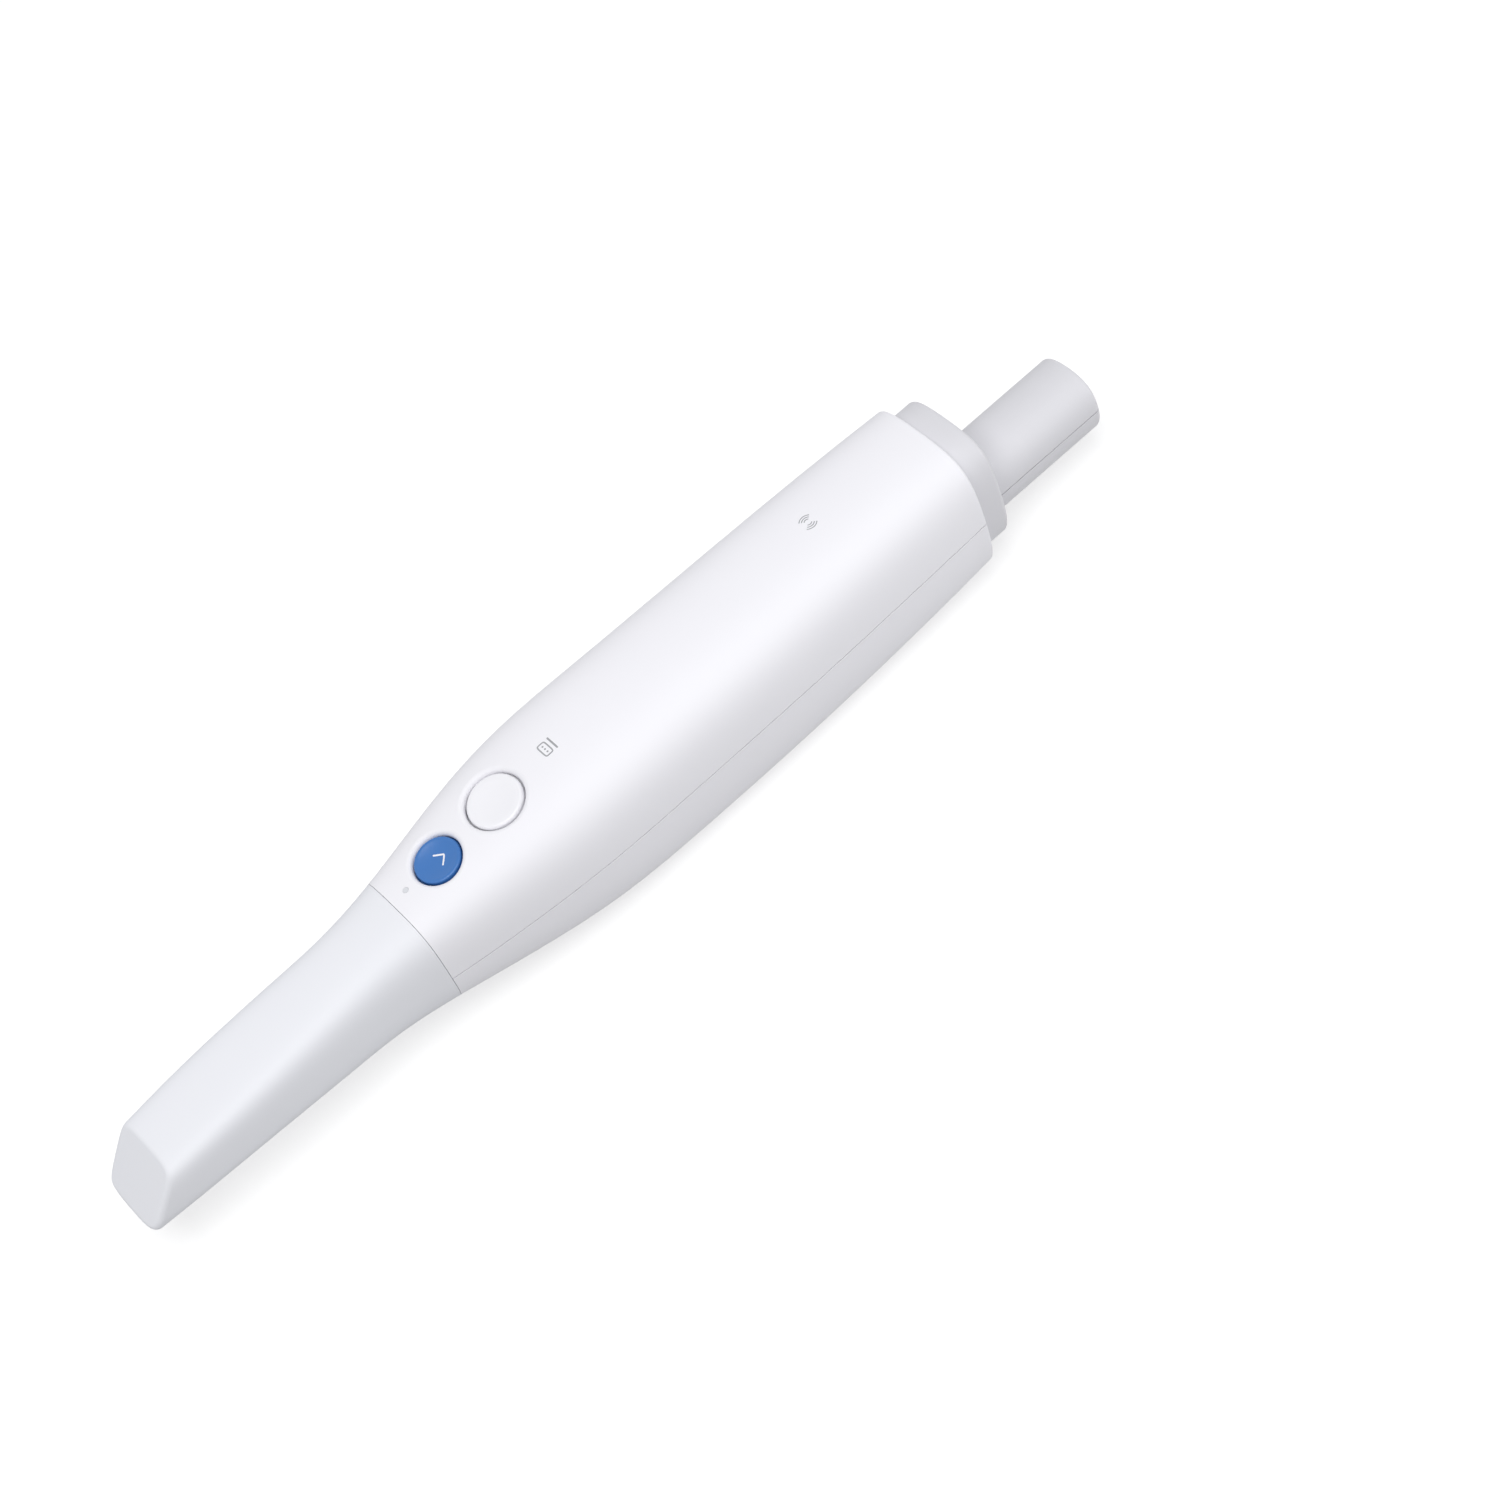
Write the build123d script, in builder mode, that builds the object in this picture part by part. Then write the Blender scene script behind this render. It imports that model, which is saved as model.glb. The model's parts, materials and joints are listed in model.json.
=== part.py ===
"""Wireless handheld intraoral scanner.

A slim mirror tip pushes onto the nose of a two-cover body with two round buttons. A stepped
collar at the rear takes a rod-shaped battery. Millimetres; +X runs from the mirror end to the
battery end, +Z is the button side, and the scanner lies on the flat of its belly at Z = 0.
"""
import math
import os

from build123d import *

# Lengths along X
TIP_LENGTH = 92.0  # mirror end to the seam with the body
BODY_LENGTH = 175.0  # seam to the rear edge of the covers
COLLAR_LENGTH = 8.5  # collar standing out of the covers
BATTERY_PROUD = 38.3  # battery standing out of the collar
AXIS_HEIGHT = 24.0  # optical axis above the rest face

TIP_X = -(TIP_LENGTH + BODY_LENGTH + COLLAR_LENGTH + BATTERY_PROUD) / 2
SEAM_X = TIP_X + TIP_LENGTH
REAR_X = SEAM_X + BODY_LENGTH
COLLAR_X = REAR_X + COLLAR_LENGTH
BATTERY_X = COLLAR_X + BATTERY_PROUD

# Outer form: marks along the length, then the sizes of the section at each mark
TIP_MARKS = (-0.04, 0.15, 0.33, 0.66, 0.85)  # shares of the tip length, first one ahead of its end
BODY_MARKS = (0.0, 0.115, 0.245, 0.42, 0.64, 0.86, 1.0)  # shares of the body length
HALF_WIDTHS = (10.4, 11.45, 12.1, 12.25, 12.55, 14.5, 18.4, 21.5, 21.75, 21.25, 20.0, 19.0)
CROWN_HEIGHTS = (6.1, 8.45, 10.3, 12.75, 14.45, 16.5, 20.0, 22.95, 23.7, 23.6, 23.5, 22.75)
BELLY_DEPTHS = (8.65, 8.65, 8.7, 10.9, 13.0, 15.2, 18.6, 22.1, 24.45, 24.5, 23.2, 21.3)
PARTING_HEIGHTS = (-3.0, -3.0, -3.0, -2.9, -2.7, -2.45, -0.9, 0.6, 0.32, 0.13, -0.03, -0.03)
# Pull of the section's corners at each mark: 0.55 is an ellipse, from 0.9 up flats and tight corners
CROWN_SQUARENESS = (1.03, 1.03, 1.01, 0.95, 0.90, 0.86, 0.83, 0.82, 0.82, 0.82, 0.84, 0.85)
BELLY_SQUARENESS = (0.90, 0.90, 0.90, 0.89, 0.87, 0.855, 0.84, 0.84, 0.84, 0.84, 0.84, 0.84)
SECTION_PITCH = 13.0

# Mirror tip
TIP_WALL = 1.4
END_RAKE = 40.0  # lean of the end face, degrees from upright
END_ROUND = 1.6
MIRROR_SETBACK = 3.4  # foot of the mirror behind the tip end
MIRROR_THICKNESS = 1.0
WINDOW_SETBACK = 5.0
WINDOW_LENGTH = 14.5
WINDOW_WIDTH = 15.5
WINDOW_CORNER = 2.5
SEAM_GAP = 0.12

# Nose that carries the tip
NOSE_LENGTH = 40.0
NOSE_GAP = 0.4
NOSE_WALL = 1.4
NOSE_GLASS = 1.5
NOSE_GLASS_LEDGE = 0.7
FLANGE_THICKNESS = 2.0
SEAL_SETBACK = 6.0
SEAL_WIDTH = 2.0
SEAL_DEPTH = 0.6
SEAL_PROUD = 0.2

# Covers
COVER_WALL = 2.0
FIT = 0.1  # between pieces that sit in each other
PARTING_GAP = 0.35  # shadow line between the covers, closed by the tongue behind it
LIP_INSET = 1.05
LIP_HEIGHT = 1.5
REAR_ROUND = 0.9
COLLAR_STEP = 2.8
COLLAR_ROUND = 1.6
COLLAR_FLANGE = 3.0
COLLAR_WALL = 2.4

# Battery and its bay
BATTERY_HALF = 10.25  # half the side of its rounded square section
BATTERY_SQUARENESS = 0.68
BATTERY_DROP = 7.1  # battery centre below the optical axis
BATTERY_INSERT = 49.0  # length inside the collar and bay
BATTERY_GAP = 0.3
BATTERY_WALL = 1.5
BATTERY_END_WALL = 2.0
BATTERY_ROUND = 1.6
GROOVE_DEPTH = 0.5  # line along both sides of the battery
GROOVE_HEIGHT = 0.35
CELL_RADIUS = 8.5
CELL_LENGTH = 65.0
BATTERY_BOARD = 1.2
SLEEVE_WALL = 1.2
SLEEVE_FLOOR = 2.0
PAD_RADIUS = 1.6
PAD_PITCH = 5.0
PAD_RISE = 3.5
PIN_RADIUS = 0.7
PIN_GAP = 0.05
BAY_END_GAP = 0.6
CONTACT_BOARD_RADIUS = 9.0
CONTACT_BOARD = 1.2

# Buttons, with the heights counted from the crown line along the press direction
SCAN_SETBACK = 14.9  # scan button behind the seam
UV_SETBACK = 34.2  # second button behind the seam
LIGHT_SETBACK = 4.7  # status light behind the seam
SCAN_RADIUS = 6.2
UV_RADIUS = 7.5
BUTTON_GAP = 0.45
BUTTON_DROP = 0.7
SCAN_DISH = 0.75
SCAN_EDGE = 0.45
UV_DISH = 0.35
UV_EDGE = 0.9
BUTTON_TRAVEL = 0.6
HOLE_ROUND = 1.3
FLANGE_PROUD = 1.2
FLANGE_DROP = 3.4
FLANGE_DEPTH = 0.8
STEM_RADIUS = 2.2
STEM_LENGTH = 0.9
PLUNGER_RADIUS = 1.6
PLUNGER_LENGTH = 0.9
SWITCH_SIDE = 6.0
SWITCH_HEIGHT = 1.9
BUTTON_BOARD = 1.0
BUTTON_BOARD_FRONT = 11.4
BUTTON_BOARD_REAR = 14.0
BUTTON_BOARD_WIDTH = 18.0
LIGHT_RADIUS = 0.75
LED_SIDE = 2.0
LED_HEIGHT = 0.8
POST_RADIUS = 1.7

# Optics on their bench
BENCH_DROP = 8.9  # top of the bench below the optical axis
BENCH_THICKNESS = 3.0
BENCH_WIDTH = 22.0
BENCH_LENGTH = 118.0
FRONT_PLATE = 3.5
FRONT_PLATE_TOP = 7.3
PROJECTOR_RISE = 3.0
PROJECTOR_RADIUS = 3.2
CAMERA_SPREAD = 5.7
CAMERA_DROP = 4.9
CAMERA_RADIUS = 3.2
CAMERA_WIDTH = 9.0
CAMERA_HEIGHT = 7.8
BARREL_REACH = 5.0  # barrels standing forward of the front plate
BARREL_FLANGE = 1.5
BARREL_FLANGE_PROUD = 0.7
BARREL_WALL = 0.7
BARREL_LENGTH = 17.0
LENS_THICKNESS = 1.6
CAMERA_LENGTH = 11.0
SENSOR_BOARD = 1.2
ENGINE_LENGTH = 16.0
ENGINE_WIDTH = 16.0
ENGINE_HEIGHT = 18.5
SINK_LENGTH = 22.0
SINK_WIDTH = 19.0
SINK_HEIGHT = 15.0
SINK_BASE = 2.5
FIN_COUNT = 6
FIN_THICKNESS = 1.4
BOSS_RADIUS = 3.2
BOSS_SPREAD = 7.5
BENCH_BOSS_FRONT = 23.7
BENCH_BOSS_REAR = 108.0

# Electronics
BOARD_RISE = 12.0  # underside of the main board above the optical axis
BOARD_THICKNESS = 1.6
BOARD_LENGTH = 96.0
BOARD_WIDTH = 30.0
BOARD_SETBACK = 54.0
STANDOFF_RADIUS = 2.4
STANDOFF_SPREAD = 8.2
STANDOFF_FRONT = 80.0
STANDOFF_REAR = 114.0
SHIELD_LENGTH = 26.0
SHIELD_WIDTH = 22.0
SHIELD_HEIGHT = 3.2
SHIELD_WALL = 0.5
RADIO_LENGTH = 20.0
RADIO_WIDTH = 15.0
RADIO_HEIGHT = 2.2
SCREW_RADIUS = 1.0
SCREW_HEAD_RADIUS = 1.8
SCREW_HEAD = 1.2
SCREW_LENGTH = 6.0
SCREW_PLAY = 0.05
CRADLE_THICKNESS = 2.0

FAR = 200.0
CENTRED_LOW = (Align.CENTER, Align.CENTER, Align.MIN)
CENTRED_HIGH = (Align.CENTER, Align.CENTER, Align.MAX)


# Guide lines of the outer form: half width, crown, belly and parting line along X
MARKS = [TIP_X + share * TIP_LENGTH for share in TIP_MARKS]
MARKS += [SEAM_X + share * BODY_LENGTH for share in BODY_MARKS]
SEAM_MARK = len(TIP_MARKS)


def guide_line(sizes):
    """Smooth line through one size at each mark."""
    return Spline(*zip(MARKS, sizes))


WIDTH_LINE = guide_line(HALF_WIDTHS)
CROWN_LINE = guide_line(CROWN_HEIGHTS)
BELLY_LINE = guide_line(BELLY_DEPTHS)
PARTING_LINE = guide_line(PARTING_HEIGHTS)
CROWN_PULL_LINE = guide_line(CROWN_SQUARENESS)
BELLY_PULL_LINE = guide_line(BELLY_SQUARENESS)


def size_at(line, x):
    """Value of a guide line at a place along X."""
    return line.find_intersection_points(Axis((x, 0, 0), (0, 1, 0)))[0].Y


def across(x, height=AXIS_HEIGHT):
    """Plane across the length, with its first axis along Y and its second along Z."""
    return Plane(origin=(x, 0, height), x_dir=(0, 1, 0), z_dir=(1, 0, 0))


def quarter(half, height, side, pull):
    """Control points of a quarter section, from the crown or belly point to the side point."""
    near = 0.6 * pull
    far = min(1.0, near + 0.3)
    rim = min(1.0, 0.3 * pull + 0.7)
    shares = [(0, 1), (near, 1), (far, rim), (rim, far), (1, near), (1, 0)]
    return [(half * u, side + v * (height - side)) for u, v in shares]


def mirrored(points):
    """Points carried to the other side of the length."""
    return [(-y, z) for y, z in points]


def section(x, inset):
    """Face of four curved quarters that meet at the crown, the parting line and the belly."""
    half = size_at(WIDTH_LINE, x) - inset
    top = size_at(CROWN_LINE, x) - inset
    low = inset - size_at(BELLY_LINE, x)
    side = size_at(PARTING_LINE, x)
    crown = quarter(half, top, side, size_at(CROWN_PULL_LINE, x))
    belly = quarter(half, low, side, size_at(BELLY_PULL_LINE, x))
    quarters = [
        Edge.make_bezier(*crown),
        Edge.make_bezier(*reversed(belly)),
        Edge.make_bezier(*mirrored(belly)),
        Edge.make_bezier(*reversed(mirrored(crown))),
    ]
    return across(x) * Face(Wire(quarters))


def form(inset):
    """Whole outer form from the tip end to the rear edge, shrunk by a wall."""
    count = round((MARKS[-1] - MARKS[0]) / SECTION_PITCH)
    step = (MARKS[-1] - MARKS[0]) / count
    sections = [section(MARKS[0], inset)]
    sections += [section(MARKS[0] + step * i, inset) for i in range(1, count)]
    sections += [section(MARKS[-1], inset)]
    with BuildPart() as whole:
        loft(sections)
    return whole.part


def behind(x):
    """Plane across the length that faces the rear."""
    return Plane(origin=(x, 0, 0), x_dir=(0, 1, 0), z_dir=(1, 0, 0))


def stretch(inset, start, end):
    """Length of the outer form between two places, shrunk by a wall."""
    with BuildPart() as piece:
        add(form(inset))
        if start > MARKS[0]:
            split(bisect_by=behind(start), keep=Keep.TOP)
        if end < MARKS[-1]:
            split(bisect_by=behind(end), keep=Keep.BOTTOM)
    return piece.part


def rear_prism(inset, start, end):
    """Straight prism of the rear section, shrunk by a step."""
    with BuildPart() as prism:
        extrude(Pos(start - REAR_X, 0, 0) * section(MARKS[-1], inset), amount=end - start, dir=(1, 0, 0))
    return prism.part


def parting_region(rise, reach):
    """Block on one side of the parting line: below it for a negative reach, above for a positive."""
    base = AXIS_HEIGHT + rise
    body_marks = [(x, base + size_at(PARTING_LINE, x)) for x in MARKS[SEAM_MARK + 1 : -1]]
    first = (SEAM_X - 3, base + PARTING_HEIGHTS[SEAM_MARK])
    seam = (SEAM_X, base + PARTING_HEIGHTS[SEAM_MARK])
    last = (REAR_X + 3, base + PARTING_HEIGHTS[-1])
    with BuildPart() as region:
        with BuildSketch(Plane.XZ):
            with BuildLine():
                Spline(first, seam, *body_marks, last)
                Polyline(last, (last[0], reach), (first[0], reach), first)
            make_face()
        extrude(amount=FAR / 2, both=True)
    return region.part


def screws(places, label):
    """Pan-head screws with their heads seated on the given planes."""
    with BuildPart() as group:
        with Locations(*places):
            Cylinder(SCREW_HEAD_RADIUS, SCREW_HEAD, align=CENTRED_LOW)
            Cylinder(SCREW_RADIUS, SCREW_LENGTH, align=CENTRED_HIGH)
    group.part.label = label
    return group.part


# Mirror tip: hollow light tunnel, leaning end face, window in the belly, 45 degree mirror seat
belly_z = AXIS_HEIGHT - size_at(BELLY_LINE, TIP_X)
end_corner = math.radians(90 - END_RAKE)
end_foot = TIP_X - END_ROUND * (1 / math.tan(end_corner / 2) - 1)
rake = math.radians(END_RAKE)
end_plane = Plane((end_foot, 0, belly_z), x_dir=(0, 1, 0), z_dir=(math.cos(rake), 0, -math.sin(rake)))
mirror_foot = (TIP_X + MIRROR_SETBACK, 0, belly_z + TIP_WALL)
mirror_back = Plane(mirror_foot, x_dir=(0, 1, 0), z_dir=(1, 0, -1))
mirror_front = mirror_back.offset(MIRROR_THICKNESS)

with BuildPart() as tip_tunnel:
    add(stretch(TIP_WALL, MARKS[0], SEAM_X + 1))
    split(bisect_by=mirror_back, keep=Keep.TOP)

with BuildPart() as scan_tip:
    add(stretch(0, MARKS[0], SEAM_X - SEAM_GAP / 2))
    split(bisect_by=end_plane, keep=Keep.TOP)
    end_face = scan_tip.faces().sort_by(Axis.X)[0]
    fillet(end_face.edges(), END_ROUND)
    add(tip_tunnel.part, mode=Mode.SUBTRACT)
    with BuildSketch(Plane.XY.offset(belly_z - 1)):
        with Locations((TIP_X + WINDOW_SETBACK + WINDOW_LENGTH / 2, 0)):
            RectangleRounded(WINDOW_LENGTH, WINDOW_WIDTH, WINDOW_CORNER)
    extrude(amount=TIP_WALL + 1.6, mode=Mode.SUBTRACT)
scan_tip.part.label = "scan_tip"

with BuildPart() as tip_mirror:
    add(stretch(TIP_WALL + FIT, MARKS[0], SEAM_X))
    split(bisect_by=mirror_back, keep=Keep.TOP)
    split(bisect_by=mirror_front, keep=Keep.BOTTOM)
tip_mirror.part.label = "tip_mirror"

# Nose: tapered spigot with a glass front, held by its flange behind the front wall of the covers
NOSE_INSET = TIP_WALL + NOSE_GAP
nose_front = SEAM_X - NOSE_LENGTH
flange_x = SEAM_X + COVER_WALL
bench_x = flange_x + FLANGE_THICKNESS
seal_x = SEAM_X - SEAL_SETBACK

with BuildPart() as nose:
    add(stretch(NOSE_INSET, nose_front, flange_x + FLANGE_THICKNESS / 2))
    add(stretch(COVER_WALL + FIT, flange_x, bench_x))
    add(stretch(NOSE_INSET + NOSE_WALL, nose_front - 1, bench_x + 1), mode=Mode.SUBTRACT)
    add(stretch(NOSE_INSET + NOSE_GLASS_LEDGE, nose_front - 1, nose_front + NOSE_GLASS), mode=Mode.SUBTRACT)
    add(stretch(NOSE_INSET - 1, seal_x, seal_x + SEAL_WIDTH), mode=Mode.SUBTRACT)
    add(stretch(NOSE_INSET + SEAL_DEPTH, seal_x - 1, seal_x + SEAL_WIDTH + 1))
    add(stretch(NOSE_INSET + NOSE_WALL, seal_x - 2, seal_x + SEAL_WIDTH + 2), mode=Mode.SUBTRACT)
nose.part.label = "nose"

with BuildPart() as nose_window:
    add(stretch(NOSE_INSET + NOSE_GLASS_LEDGE + FIT / 2, nose_front, nose_front + NOSE_GLASS))
nose_window.part.label = "nose_window"

with BuildPart() as nose_seal:
    add(stretch(NOSE_INSET - SEAL_PROUD, seal_x, seal_x + SEAL_WIDTH))
    add(stretch(NOSE_INSET + SEAL_DEPTH, seal_x - 1, seal_x + SEAL_WIDTH + 1), mode=Mode.SUBTRACT)
nose_seal.part.label = "nose_seal"

# Frame of the button row: along the crown line, square to it
scan_place = Vector(SEAM_X + SCAN_SETBACK, 0, AXIS_HEIGHT + size_at(CROWN_LINE, SEAM_X + SCAN_SETBACK))
uv_place = Vector(SEAM_X + UV_SETBACK, 0, AXIS_HEIGHT + size_at(CROWN_LINE, SEAM_X + UV_SETBACK))
row_dir = (uv_place - scan_place).normalized()
row_up = row_dir.cross(Vector(0, 1, 0))
button_pitch = (uv_place - scan_place).length
scan_plane = Plane(scan_place, x_dir=row_dir, z_dir=row_up)
uv_plane = Plane(uv_place, x_dir=row_dir, z_dir=row_up)
light_x = SEAM_X + LIGHT_SETBACK
light_place = Vector(light_x, 0, AXIS_HEIGHT + size_at(CROWN_LINE, light_x))
light_plane = Plane(light_place, x_dir=row_dir, z_dir=row_up)

stem_end = FLANGE_DROP + FLANGE_DEPTH + STEM_LENGTH
plunger_end = stem_end + PLUNGER_LENGTH
switch_top = plunger_end - BUTTON_TRAVEL / 2
board_top = switch_top + SWITCH_HEIGHT
row_posts = [
    (-BUTTON_BOARD_FRONT + 4.0, -BUTTON_BOARD_WIDTH / 2 + 2.0),
    (-BUTTON_BOARD_FRONT + 4.0, BUTTON_BOARD_WIDTH / 2 - 2.0),
    (button_pitch + BUTTON_BOARD_REAR - 2.2, -BUTTON_BOARD_WIDTH / 2 + 2.0),
    (button_pitch + BUTTON_BOARD_REAR - 2.2, BUTTON_BOARD_WIDTH / 2 - 2.0),
]

# Body shell before it is parted: outer form, cavity, openings for the nose and the collar
with BuildPart() as body_shell:
    add(stretch(0, SEAM_X + SEAM_GAP / 2, REAR_X))
    fillet(body_shell.faces().sort_by(Axis.X)[-1].edges(), REAR_ROUND)
    split(bisect_by=Plane.XY, keep=Keep.TOP)
    add(stretch(COVER_WALL, flange_x, REAR_X - COVER_WALL), mode=Mode.SUBTRACT)
    add(stretch(NOSE_INSET - FIT, SEAM_X - 1, flange_x + 1), mode=Mode.SUBTRACT)
    add(rear_prism(COLLAR_STEP - FIT, REAR_X - COVER_WALL - 1, REAR_X + 1), mode=Mode.SUBTRACT)


def rims_of(solid, plane, radius):
    """Outer edges of a button hole."""
    rims = []
    for edge in solid.edges():
        place = plane.to_local_coords(edge @ 0.5)
        if abs(math.hypot(place.X, place.Y) - radius) < 0.02 and place.Z > -COVER_WALL / 2:
            rims.append(edge)
    return rims


def lip_core(inset, rise):
    """Inner part of the wall up to a height over the parting line."""
    with BuildPart() as core:
        add(stretch(inset, flange_x + 1, REAR_X - COVER_WALL - 1))
        add(parting_region(rise, -FAR), mode=Mode.INTERSECT)
    return core.part


with BuildPart() as button_posts:
    with BuildSketch(scan_plane.offset(-board_top)):
        with Locations(*row_posts):
            Circle(POST_RADIUS)
    extrude(amount=FAR)
    add(form(COVER_WALL / 2), mode=Mode.INTERSECT)

with BuildPart() as upper_cover:
    add(body_shell.part)
    add(parting_region(PARTING_GAP / 2, -FAR), mode=Mode.SUBTRACT)
    add(lip_core(LIP_INSET - FIT, LIP_HEIGHT + FIT), mode=Mode.SUBTRACT)
    for plane, radius in ((scan_plane, SCAN_RADIUS), (uv_plane, UV_RADIUS)):
        with Locations(plane):
            Cylinder(radius + BUTTON_GAP, 2 * FLANGE_DROP + 2, mode=Mode.SUBTRACT)
    fillet(rims_of(upper_cover.part, scan_plane, SCAN_RADIUS + BUTTON_GAP), HOLE_ROUND)
    fillet(rims_of(upper_cover.part, uv_plane, UV_RADIUS + BUTTON_GAP), HOLE_ROUND)
    with Locations(light_plane):
        Cylinder(LIGHT_RADIUS + FIT / 2, 2 * COVER_WALL + 4, mode=Mode.SUBTRACT)
    add(button_posts.part)
    with BuildSketch(scan_plane.offset(-board_top)):
        with Locations(*row_posts):
            Circle(SCREW_RADIUS + SCREW_PLAY)
    extrude(amount=SCREW_LENGTH - BUTTON_BOARD, mode=Mode.SUBTRACT)
upper_cover.part.label = "upper_cover"

# Lower cover: tongue along the parting line, bosses under the bench, cradles under the bay
bench_top = AXIS_HEIGHT - BENCH_DROP
bench_low = bench_top - BENCH_THICKNESS
boss_places = [
    (SEAM_X + along, side * BOSS_SPREAD) for along in (BENCH_BOSS_FRONT, BENCH_BOSS_REAR) for side in (-1, 1)
]
battery_z = AXIS_HEIGHT - BATTERY_DROP
battery_front = COLLAR_X - BATTERY_INSERT
bore_half = BATTERY_HALF + BATTERY_GAP
sleeve_half = bore_half + SLEEVE_WALL
sleeve_front = battery_front - BAY_END_GAP - SLEEVE_FLOOR
sleeve_rear = REAR_X - COVER_WALL - COLLAR_FLANGE


def battery_prism(half, start, end):
    """Straight prism round the battery's centre line, a square with fully rounded corners."""
    pull = BATTERY_SQUARENESS * half
    quarters = [
        Edge.make_bezier((0, half), (pull, half), (half, pull), (half, 0)),
        Edge.make_bezier((half, 0), (half, -pull), (pull, -half), (0, -half)),
        Edge.make_bezier((0, -half), (-pull, -half), (-half, -pull), (-half, 0)),
        Edge.make_bezier((-half, 0), (-half, pull), (-pull, half), (0, half)),
    ]
    with BuildPart() as prism:
        extrude(across(start, battery_z) * Face(Wire(quarters)), amount=end - start, dir=(1, 0, 0))
    return prism.part


with BuildPart() as lip_cut:
    add(parting_region(-PARTING_GAP / 2, FAR))
    add(lip_core(LIP_INSET, LIP_HEIGHT), mode=Mode.SUBTRACT)

with BuildPart() as bench_bosses:
    with BuildSketch(Plane.XY.offset(bench_low)):
        with Locations(*boss_places):
            Circle(BOSS_RADIUS)
    extrude(amount=-FAR)
    add(form(COVER_WALL / 2), mode=Mode.INTERSECT)

with BuildPart() as cradles:
    for x in (sleeve_front + 4, sleeve_rear - 8):
        add(stretch(COVER_WALL / 2, x, x + CRADLE_THICKNESS))
    split(bisect_by=Plane.XY.offset(battery_z - 4), keep=Keep.BOTTOM)
    add(battery_prism(sleeve_half + FIT / 2, 0, FAR), mode=Mode.SUBTRACT)

with BuildPart() as lower_cover:
    add(body_shell.part)
    add(lip_cut.part, mode=Mode.SUBTRACT)
    add(bench_bosses.part)
    add(cradles.part)
    with BuildSketch(Plane.XY.offset(bench_low)):
        with Locations(*boss_places):
            Circle(SCREW_RADIUS + SCREW_PLAY)
    extrude(amount=BENCH_THICKNESS - SCREW_LENGTH - 0.2, mode=Mode.SUBTRACT)
lower_cover.part.label = "lower_cover"

# Rear collar: flange behind the rear wall, stepped end with the battery bore, cored out above it
with BuildPart() as collar_core:
    add(rear_prism(COLLAR_STEP + COLLAR_WALL, sleeve_rear - 1, COLLAR_X - COLLAR_WALL))
    add(battery_prism(sleeve_half, 0, FAR), mode=Mode.SUBTRACT)
    split(bisect_by=Plane.XY.offset(battery_z), keep=Keep.TOP)

with BuildPart() as rear_collar:
    add(rear_prism(COLLAR_STEP, REAR_X - COVER_WALL - COLLAR_FLANGE / 2, COLLAR_X))
    fillet(rear_collar.faces().sort_by(Axis.X)[-1].edges(), COLLAR_ROUND)
    add(stretch(COVER_WALL + FIT, sleeve_rear, REAR_X - COVER_WALL))
    add(collar_core.part, mode=Mode.SUBTRACT)
    add(battery_prism(bore_half, 0, FAR), mode=Mode.SUBTRACT)
rear_collar.part.label = "rear_collar"

# Battery bay: sleeve with a floor, contact board on the floor, pins through it
pad_places = [(side * PAD_PITCH, PAD_RISE) for side in (-1, 0, 1)]

with BuildPart() as battery_sleeve:
    add(battery_prism(sleeve_half, sleeve_front, sleeve_rear))
    add(battery_prism(bore_half, sleeve_front + SLEEVE_FLOOR, FAR), mode=Mode.SUBTRACT)
    with BuildSketch(across(sleeve_front, battery_z)):
        with Locations(*pad_places):
            Circle(PIN_RADIUS + SCREW_PLAY)
    extrude(amount=SLEEVE_FLOOR, mode=Mode.SUBTRACT)
battery_sleeve.part.label = "battery_sleeve"

with BuildPart() as contact_board:
    with BuildSketch(across(sleeve_front, battery_z)):
        Circle(CONTACT_BOARD_RADIUS)
    extrude(amount=-CONTACT_BOARD)
contact_board.part.label = "contact_board"

with BuildPart() as contact_pins:
    with BuildSketch(across(sleeve_front, battery_z)):
        with Locations(*pad_places):
            Circle(PIN_RADIUS)
    extrude(amount=SLEEVE_FLOOR + BAY_END_GAP - PIN_GAP)
contact_pins.part.label = "contact_pins"

# Battery: two case halves parted at mid height, round a cell between a board and a spacer
case_bore = BATTERY_HALF - BATTERY_WALL
case_middle = (battery_front + BATTERY_X) / 2
cell_front = battery_front + BATTERY_WALL + BATTERY_BOARD
cell_rear = cell_front + CELL_LENGTH


def battery_half(side):
    """Case half above the parting plane for 1, below it for -1."""
    with BuildPart() as half:
        add(battery_prism(BATTERY_HALF, battery_front, BATTERY_X))
        fillet(half.faces().sort_by(Axis.X)[-1].edges(), BATTERY_ROUND)
        chamfer(half.faces().sort_by(Axis.X)[0].edges(), BATTERY_WALL / 2)
        with BuildSketch(across(battery_front + BATTERY_WALL, battery_z)):
            Circle(case_bore)
        extrude(amount=BATTERY_X - BATTERY_END_WALL - battery_front - BATTERY_WALL, mode=Mode.SUBTRACT)
        with BuildSketch(across(battery_front, battery_z)):
            with Locations(*pad_places):
                Circle(PAD_RADIUS + SCREW_PLAY)
        extrude(amount=BATTERY_WALL, mode=Mode.SUBTRACT)
        with Locations(*[(case_middle, y, battery_z) for y in (-BATTERY_HALF, BATTERY_HALF)]):
            Box(FAR, 2 * GROOVE_DEPTH, GROOVE_HEIGHT, mode=Mode.SUBTRACT)
        cut = Plane.XY.offset(battery_z + side * FIT / 2)
        split(bisect_by=cut, keep=Keep.TOP if side > 0 else Keep.BOTTOM)
    return half.part


battery_upper_shell = battery_half(1)
battery_upper_shell.label = "battery_upper_shell"
battery_lower_shell = battery_half(-1)
battery_lower_shell.label = "battery_lower_shell"

with BuildPart() as battery_contacts:
    with BuildSketch(across(battery_front, battery_z)):
        with Locations(*pad_places):
            Circle(PAD_RADIUS)
    extrude(amount=BATTERY_WALL)
battery_contacts.part.label = "battery_contacts"

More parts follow.
